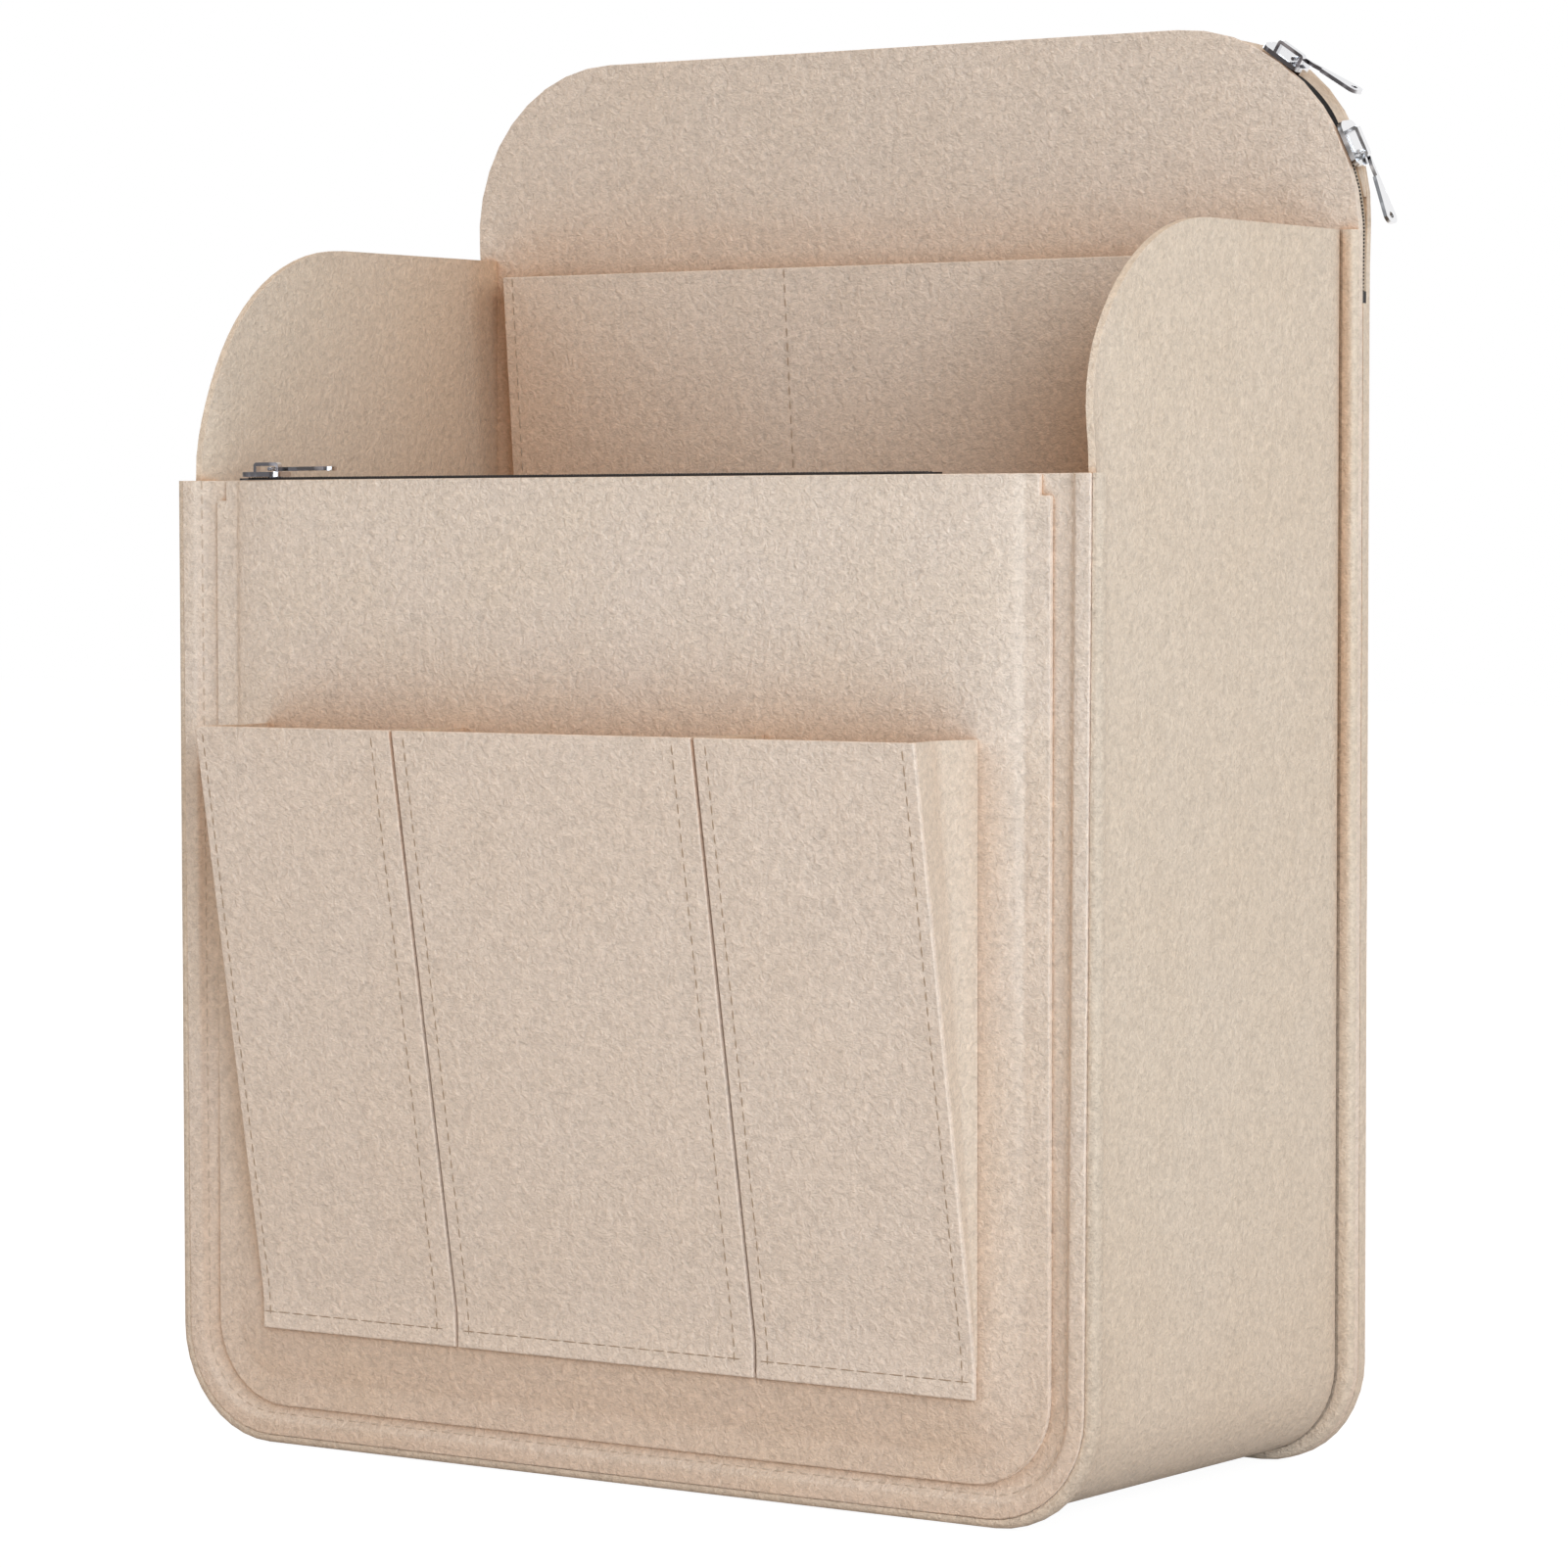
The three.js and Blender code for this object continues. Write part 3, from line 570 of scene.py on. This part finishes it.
def turned_edge(name, cut, section, count):
    """An edge of the band, turned out and pressed flat. Each point of its section gives its inset from the
    cut edge, its share of the way from there to the wall, its inset from the wall's face there, its depth and
    the painted shade tone of the strip that follows. The edge may grow wider towards the foot."""
    wall = {**wall_cut, "top": cut["top"]}
    lines = []
    for edge_inset, share, wall_inset, y, tone in section:
        narrowing = cut.get("narrowing", 0) + cut.get("widening", 0) * edge_inset
        edge_line = round_line({**cut, "narrowing": narrowing}, edge_inset, side_levels(cut, count), y)
        wall_line = round_line(wall, wall_inset, side_levels(wall, count), y)
        lines.append([Vector(a).lerp(Vector(b), share) for a, b in zip(edge_line, wall_line)])
    band = swept_band(name, lines, [point[-1] for point in section])
    dress(band, gusset_felt)


# The last column paints light shade on the rounded bead of the turned edge.
front_turn_section = (
    (0, 1, 1.6, -0.95, 0), (2.2, 0, 0, -0.95, 0), (2.22, 0, 0, -2.2, 0), (2.05, 0, 0, -2.42, 0),
    (1.4, 0, 0, -2.52, -1), (0.7, 0, 0, -2.35, -1.2), (0.2, 0, 0, -1.75, -1.2), (0, 0, 0, -0.8, -1),
    (0, 0, 0, 0.3, -0.5), (0.15, 0, 0, 0.8, -1), (0.3, 0.2, 0, 1.15, -1.5), (0, 0.45, 0, 1.5, -1),
    (0, 0.72, 0, 2.4, 0), (0, 0.9, 0, 4.0, 0), (0, 1, 0.05, 6.5, 0), (0, 1, 1.6, 7.5, 0),
)
front_edge_cut = {"half": 137, "bottom": 0, "top": front_high, "foot": 28, "shoulder": 0}
front_edge_cut.update({"narrowing": 0.8, "widening": 0.45})
turned_edge("front_turned_edge", front_edge_cut, front_turn_section, 12)

# The last column paints a dark seam shadow on the strips next to the wall.
rear_turn_section = (
    (0, 1, 1.6, 119.15, 0), (0, 1, 1.6, 117.35, -7), (0, 1, 0.5, 117.3, -5), (0, 0.92, 0, 117.2, 0),
    (1.9, 0, 0, 117.2, 0), (1.1, 0, 0, 117.3, 0), (0.5, 0, 0, 117.65, 0), (0.12, 0, 0, 118.3, 0),
    (0, 0, 0, 119.15, 0),
)
rear_edge_cut = {"half": 135, "bottom": 0, "top": wing_top, "foot": 25.5, "shoulder": 0}
turned_edge("rear_turned_edge", rear_edge_cut, rear_turn_section, 14)


# Zipped patch: a flat felt patch sewn round its margin on the front panel, with a small notch at each
# upper corner. Its field stands off the panel and makes the shallow front pocket.
patch_cut = {"half": 123.7, "bottom": 9.8, "top": front_high, "foot": 21, "shoulder": 0}
patch_felt_depth = 1.6
notch = 3
notch_low = 236.6
patch_insets = (0, 0.6, 1.6, notch, 4.5, 6, 6.6, 7.2, 8.2, 9, 12, 15, 18, 20.5)
patch_steps = (0, 4.5, 6, 6.6, 7.2, 8.2, 9, 12, 15, 18, 20.5)
patch_high_rise = (-2.6, -2.6, -2.7, -2.65, -2.9, -3.55, -3.8, -4.3, -4.6, -4.85, -5)
patch_low_rise = (-2.6, -2.6, -2.65, -2.68, -2.75, -2.92, -3.06, -3.57, -4.1, -4.6, -5)
grid, faces = panel_grid(patch_cut, patch_insets, side_levels(patch_cut, 16, [notch_low]), 16)


def patch_depth(inset, z):
    """The patch rises steeply from its seam in its upper part and more gently towards its foot."""
    low = np.interp(inset, patch_steps, patch_low_rise)
    high = np.interp(inset, patch_steps, patch_high_rise)
    return low + (high - low) * part_way(z, 70, 160)


def in_notch(face):
    x = sum(abs(grid[i][0]) for i in face) / len(face)
    z = sum(grid[i][1] for i in face) / len(face)
    return x > patch_cut["half"] - notch and z > notch_low


front = [(x, patch_depth(inset, z), z) for x, z, inset in grid]
back = [(x, y + patch_felt_depth, z) for x, y, z in front]
faces = [face for face in faces if not in_notch(face)]
piece = felt_piece("zip_pocket_patch", front, back, faces, 0.35, cut_edge_highlight=painted_cut_highlight)
dress(piece, front_felt, ["zip_pocket_panel"])


# Bellows pockets: three fronts of thinner felt, hemmed flat at the bottom, that lean out from the patch.
# Gussets folded inwards along their middle close the sides, and a line of stitching runs down each side.
# A pocket is given by the depth of its wall, its heights and how far its mouth stands off the wall.
pocket_felt_depth = 1.6
bellows = {"wall": -5.0, "low": 29.8, "hem": 34.4, "high": 181.1, "stand": 25.2}


def lean(pocket, z):
    """How far a pocket's front stands off its wall at this height, easing out of the flat hem."""
    rise = max(0, z - pocket["hem"])
    ease = 7
    eased = rise * rise / (2 * ease) if rise < ease else rise - ease / 2
    return pocket["stand"] * eased / (pocket["high"] - pocket["hem"] - ease / 2)


def on_front(pocket, x, z):
    """A point on the outer face of a pocket's front."""
    return (x, pocket["wall"] - pocket_felt_depth - lean(pocket, z), z)


def pocket_front(name, pocket, left, right):
    low = pocket["low"]
    hem = pocket["hem"]
    levels = [low, low + 0.6, low + 2, hem, hem + 2, hem + 4, hem + 7]
    levels += np.linspace(hem + 11, pocket["high"], 16).tolist()
    stations = [left, left + 0.6, left + 1.6, *np.linspace(left + 4, right - 4, 10).tolist()]
    stations += [right - 1.6, right - 0.6, right]
    front = [on_front(pocket, x, z) for z in levels for x in stations]
    back = [(x, y + pocket_felt_depth, z) for x, y, z in front]
    return felt_piece(name, front, back, grid_faces(len(levels), len(stations)))


def folded_gusset(name, pocket, edge, inward, fold):
    """A side gusset whose middle is pushed inwards; it runs from the wall into the pocket's front."""
    levels = np.linspace(pocket["hem"] + 3, pocket["high"], 16).tolist()
    shares = np.linspace(0, 1, 13).tolist()
    thickness = 1.4
    into_front = 0.25
    outside = []
    for z in levels:
        clear = lean(pocket, z) + into_front
        bend = fold * clear / pocket["stand"]
        for share in shares:
            valley = 1 - abs(2 * share - 1)
            soft = valley * (1.25 - 0.25 * valley)
            outside.append((edge + inward * bend * soft, pocket["wall"] - clear * share, z))
    inside = [(x + inward * thickness, y, z) for x, y, z in outside]
    return felt_piece(name, outside, inside, grid_faces(len(levels), len(shares)), 0.3)


def stitch_down(pocket, x, top_gap=3):
    """A line of stitching down a pocket's front."""
    high = pocket["high"]
    hem = pocket["hem"]
    levels = [high - top_gap, *np.linspace(high - 12, hem + 7, 10).tolist(), hem + 4, hem + 2, hem]
    return [on_front(pocket, x, z) for z in levels]


pocket_felt = felt_finish("pocket_felt", (0.72, 0.625, 0.54), (0.71, 0.605, 0.51), 1.6, 0.1)
fold_felt = felt_finish("fold_felt", (0.71, 0.635, 0.545), (0.7, 0.615, 0.515), 1.6, 0.3)
pockets = {"left": (-106, -45), "middle": (-44.2, 44.2), "right": (45, 106)}
for side, (left, right) in pockets.items():
    piece = pocket_front(f"{side}_bellows_front", bellows, left, right)
    dress(piece, pocket_felt, [f"{side}_pocket_front"])
    for edge_name, edge, inward in (("left", left, 1), ("right", right, -1)):
        piece = folded_gusset(f"{side}_bellows_{edge_name}_gusset", bellows, edge, inward, 2.5)
        dress(piece, fold_felt, [f"{side}_pocket_{edge_name}_pleat"])

stitch_columns = (-103.6, -50.5, -40.6, 38.8, 48.4, 102.9)
lines = [stitch_down(bellows, x) for x in stitch_columns]
dress(beads("bellows_side_stitches", lines, 3.4, (2.5, 0.38, 0.38)), thread)
hem_y = bellows["wall"] - pocket_felt_depth
hem_z = 34
column_pairs = zip(stitch_columns[::2], stitch_columns[1::2])
lines = [[(left, hem_y, hem_z), (right, hem_y, hem_z)] for left, right in column_pairs]
dress(beads("bellows_hem_stitches", lines, 4.2, (4.1, 0.32, 0.32)), thread)


# Middle panel: the tall rear wall of the main compartment, a flat piece of 2 mm felt with round corners.
# It is sewn in up to the top of the wings and leans a little forward above them.
middle_felt = felt_finish("middle_felt", (0.705, 0.615, 0.53), (0.695, 0.595, 0.5), 1.7, 0.5)
middle_y = 119.2
middle_high = 351.8
middle_cut = {"half": 135, "bottom": 0, "top": middle_high, "foot": 25.5, "shoulder": 48}


def forward(z):
    """How far the panel leans to the front at this height."""
    return 6 * part_way(z, wing_top, middle_high)


panel_insets = (0, 0.7, 2, 5, 12)
grid, faces = panel_grid(middle_cut, panel_insets, side_levels(middle_cut, 16, [wing_top]), 16)
front = [(x, middle_y - forward(z), z) for x, z, inset in grid]
back = [(x, y + felt_depth, z) for x, y, z in front]
dress(felt_piece("middle_felt_panel", front, back, faces, 0.25), middle_felt, ["middle_panel"])


# Back panel: the outer wall of the flat zipped sleeve, of the gusset's felt and cut a little smaller
# than the middle panel. Its top leans away to the back.
back_y = 124.6
back_cut = {"half": 134, "bottom": 1, "top": 350.8, "foot": 24.5, "shoulder": 47}


def flare(z):
    """How far the panel leans to the back at this height."""
    return 7 * part_way(z, 285, middle_high) ** 2


grid, faces = panel_grid(back_cut, panel_insets, side_levels(back_cut, 24), 16)
front = [(x, back_y + flare(z), z) for x, z, inset in grid]
back = [(x, y + felt_depth, z) for x, y, z in front]
dress(felt_piece("back_felt_panel", front, back, faces), gusset_felt, ["back_panel"])


# Sleeve bands: narrow strips of felt between the middle and back panels, one sewn round the sides and
# bottom of the sleeve and one round its top, behind the zip.
def arch_line(cut, inset, low, y_at):
    """A line of points up one side of a panel, over its top and down the other side."""
    arc_steps = 24
    shoulder = cut["shoulder"]
    half = cut["half"]
    reach = shoulder - inset
    up = [(inset - half, z) for z in (low, wing_top) if low <= z < cut["top"] - shoulder]
    for step in range(arc_steps + 1):
        turn = 0.5 * math.pi * step / arc_steps
        x = shoulder - half - reach * math.cos(turn)
        z = cut["top"] - shoulder + reach * math.sin(turn)
        if z >= low:
            up.append((x, z))
    return [(x, y_at(z), z) for x, z in up] + [(-x, y_at(z), z) for x, z in reversed(up)]


seam_cut = {"half": 135, "bottom": 0, "top": 284, "foot": 25.5, "shoulder": 0}
seam_section = ((0, 121.3), (5, 121.3), (5, 124.5), (0.5, 124.5), (0.1, 124.2), (0, 123.6))
levels = side_levels(seam_cut, 8)
band = swept_band("sleeve_side_band", [round_line(seam_cut, inset, levels, y) for inset, y in seam_section])
dress(band, gusset_felt, ["sleeve_seam_band"])


def strip_front(z):
    return 124.9 - forward(z)


def strip_back(z):
    return 124.3 + flare(z)


strip_section = ((1, strip_front), (3, strip_front), (3, strip_back), (1, strip_back))
lines = [arch_line(middle_cut, inset, 307.6, y_at) for inset, y_at in strip_section]
dress(swept_band("sleeve_top_strip", lines), gusset_felt, ["sleeve_top_band"])


# Inner double pocket: one front of thin felt on the middle panel, with narrow gussets at its sides and
# a divider under the line of stitching that splits it in two.
inner = {"wall": middle_y, "low": 149, "hem": 153, "high": 296.5, "stand": 12}
inner_half = 117
inner_split = -25.6
inner_seam = inner_half - 3.4
piece = pocket_front("inner_double_front", inner, -inner_half, inner_half)
dress(piece, middle_felt, ["inner_pocket_front"])
inner_sides = {
    "left_gusset": (-inner_half, 1, 1.5),
    "right_gusset": (inner_half, -1, 1.5),
    "divider": (inner_split - 0.7, 1, 0),
}
for part, (edge, inward, fold) in inner_sides.items():
    piece = folded_gusset(f"inner_double_{part}", inner, edge, inward, fold)
    dress(piece, fold_felt, [f"inner_pocket_{part}"])
lines = [stitch_down(inner, x, 1.5) for x in (-inner_seam, inner_split, inner_seam)]
dress(beads("inner_side_stitches", lines, 3.7, (2.5, 0.4, 0.4)), thread)
hem_y = inner["wall"] - pocket_felt_depth
hem_z = 152.6
lines = [[(-inner_seam, hem_y, hem_z), (inner_seam, hem_y, hem_z)]]
dress(beads("inner_hem_stitches", lines, 5.3, (3.8, 0.4, 0.4)), thread)


# Front zip: two narrow dark tapes with a moulded coil along each edge, in the mouth of the patch pocket,
# with a small blackened metal stop at each end.
def coil_finish(name, colour, gloss=0.35):
    """Nylon coil and tape: a dull gloss, a little uneven."""
    material, nodes = new_material(name)
    weave = nodes.noise(nodes.place(), 1800, 2)
    nodes.surface({
        "Base Color": nodes.mix(weave, scaled(colour, 0.7), colour),
        "Roughness": weave * 0.2 + 0.4,
        "Specular IOR Level": gloss,
        "Normal": nodes.bump(weave, 0.3, 0.0002),
    })
    return material


def plate_finish(name, bright, dark, least_rough):
    """Plated metal with painted reflections: painted bright where it faces out of the zip, and painted dark
    and a little bronze where it faces the front or the back, and in random patches."""
    material, nodes = new_material(name)
    place = nodes.place()
    wear = nodes.noise(place, 900, 3)
    drift = nodes.noise(place, 260, 1)
    facing = nodes.node("ShaderNodeNewGeometry", {}, {}, "Normal")
    across = nodes.node("ShaderNodeSeparateXYZ", {}, {"Vector": facing}, "Y")
    # Painted reflection: the colour follows which way a face turns, dark towards the front and back, bright
    # towards the sides, and drifts in random patches.
    side = nodes.ramp(across * across + drift * 0.5, 0.45, 0.95, kind="SMOOTHSTEP")
    bronze = nodes.mix(drift * 5.0 - 2.3, dark, scaled(dark, 3.2))
    plate = nodes.mix(side, bright, bronze)
    nodes.surface({"Base Color": plate, "Metallic": 1.0, "Roughness": wear * 0.16 + least_rough})
    return material


def plated(node_name, finish):
    """A small metal part straight from the CAD, with its edges broken."""
    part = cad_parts[node_name]
    part.data.materials.clear()
    part.data.materials.append(finish)
    join = part.modifiers.new("join", "WELD")
    join.merge_threshold = 0.000005
    round_edges(part, 0.14, 2, 35, False)


dark_coil = coil_finish("dark_coil", (0.012, 0.008, 0.006))
blackened = plate_finish("blackened_metal", (0.05, 0.045, 0.045), (0.03, 0.027, 0.027), 0.3)
zip_left = -112.4
zip_right = 90.6
tape_low = 239.5
tape_high = 242.0
coil_z = 241.95
tapes = {"front": (-3.4, -2.8), "rear": (-1.6, -1.0)}
for side, (near, far) in tapes.items():
    corners = ((near, tape_low), (far, tape_low), (far, tape_high), (near, tape_high))
    lines = [[(zip_left, y, z), (zip_right, y, z)] for y, z in corners]
    piece = swept_band(f"front_zip_{side}_tape", lines)
    dress(piece, dark_coil, [f"front_zip_{side}_half"])
    coil_y = (near + far) / 2
    lines = [[(zip_left, coil_y, coil_z), (zip_right, coil_y, coil_z)]]
    coil = beads(f"front_zip_{side}_coil", lines, 0.9, (0.6, 0.75, 0.8))
    dress(coil, dark_coil)
plated("front_zip_left_stop", blackened)
plated("front_zip_right_stop", blackened)


# Rear zip: two beige tapes edged with a dark coil that run up one side of the sleeve, over its top and
# down the other side, with a near-black strip behind them as painted shade inside the sleeve. They stand
# apart between the two sliders and come together at the zip's ends, where a blackened stop holds them.
beige_tape = coil_finish("beige_tape", (0.5, 0.41, 0.31))
# A near-black finish for painted shadow.
painted_shadow_sheet = coil_finish("painted_shadow_sheet", (0.004, 0.002, 0.002), 0.05)
shoulder_x = middle_cut["half"] - middle_cut["shoulder"]
shoulder_z = middle_high - middle_cut["shoulder"]
rear_zip_low = 287


def opened(x, z):
    """1 in the stretch between the two sliders, 0 outside it."""
    angle = math.degrees(math.atan2(x - shoulder_x, z - shoulder_z))
    return part_way(angle, 38, 42) * part_way(angle, 64, 60)


def closing(z):
    """0 along the zip's path and 1 at its very ends, where the tapes meet."""
    return part_way(z, 302, 290)


def zip_line(inset, y_at):
    points = arch_line(middle_cut, inset, rear_zip_low, lambda z: 0)
    return [(x, y_at(x, z) - forward(z), z) for x, _, z in points]


def front_lip(x, z):
    return 122.5 - 0.4 * opened(x, z) + 0.35 * closing(z)


def rear_lip(x, z):
    return 123.3 + 0.7 * opened(x, z) - 0.35 * closing(z)


zip_edges = {
    "front": (lambda x, z: 121.3, front_lip),
    "rear": (rear_lip, lambda x, z: 124.6),
}
for side, (near, far) in zip_edges.items():
    section = ((1.2, near), (1.9, near), (1.9, far), (1.2, far))
    piece = swept_band(f"rear_zip_{side}_tape", [zip_line(inset, y_at) for inset, y_at in section])
    dress(piece, beige_tape, [f"rear_zip_{side}_half"])
# Painted shade: a near-black strip behind the tapes stands in for the shade inside the sleeve.
shadow_strip_section = ((1.4, 123.95), (3.2, 123.95), (3.2, 124.25), (1.4, 124.25))
lines = [zip_line(inset, lambda x, z, y=y: y) for inset, y in shadow_strip_section]
dress(swept_band("rear_zip_painted_shadow_strip", lines), dark_coil)
lines = [
    zip_line(1.1, lambda x, z: front_lip(x, z) - 0.15),
    zip_line(1.1, lambda x, z: rear_lip(x, z) + 0.15),
]
dress(beads("rear_zip_coils", lines, 0.9, (0.6, 0.3, 0.6)), dark_coil)


def mouth_line(depth, near):
    """A line of points along the zip's open mouth, which is widest midway between the two sliders."""
    line = []
    steps = 18
    first_angle = 41.5
    sweep = 19.5
    reach = middle_cut["shoulder"] - depth
    for step in range(steps + 1):
        turn = math.radians(first_angle + sweep * step / steps)
        z = shoulder_z + reach * math.cos(turn)
        y = 121.5 if near else 122.8 + 1.8 * math.sin(math.pi * step / steps) ** 0.45
        line.append((shoulder_x + reach * math.sin(turn), y - forward(z), z))
    return line


# Painted shadow: a near-black sheet across the open mouth between the sliders stands in for the dark inside
# of the sleeve.
lines = [mouth_line(0.25, True), mouth_line(0.25, False), mouth_line(1.1, False), mouth_line(1.1, True)]
dress(swept_band("rear_zip_mouth_painted_shadow", lines), painted_shadow_sheet)
plated("rear_zip_left_stop", blackened)
plated("rear_zip_right_stop", blackened)


# Sliders and pulls: cast in metal and plated, each pull hinged in its slider's bridge. The lower rear
# zip's pair has a copy of the plating with paler painted reflections.
chrome = plate_finish("chrome", (0.78, 0.78, 0.8), (0.075, 0.068, 0.07), 0.06)
paler_painted_chrome = plate_finish("paler_painted_chrome", (0.85, 0.85, 0.86), (0.15, 0.145, 0.145), 0.06)
for runner, finish in (("front_zip", chrome), ("upper_zip", chrome), ("lower_zip", paler_painted_chrome)):
    plated(f"{runner}_slider", finish)
    plated(f"{runner}_pull", finish)
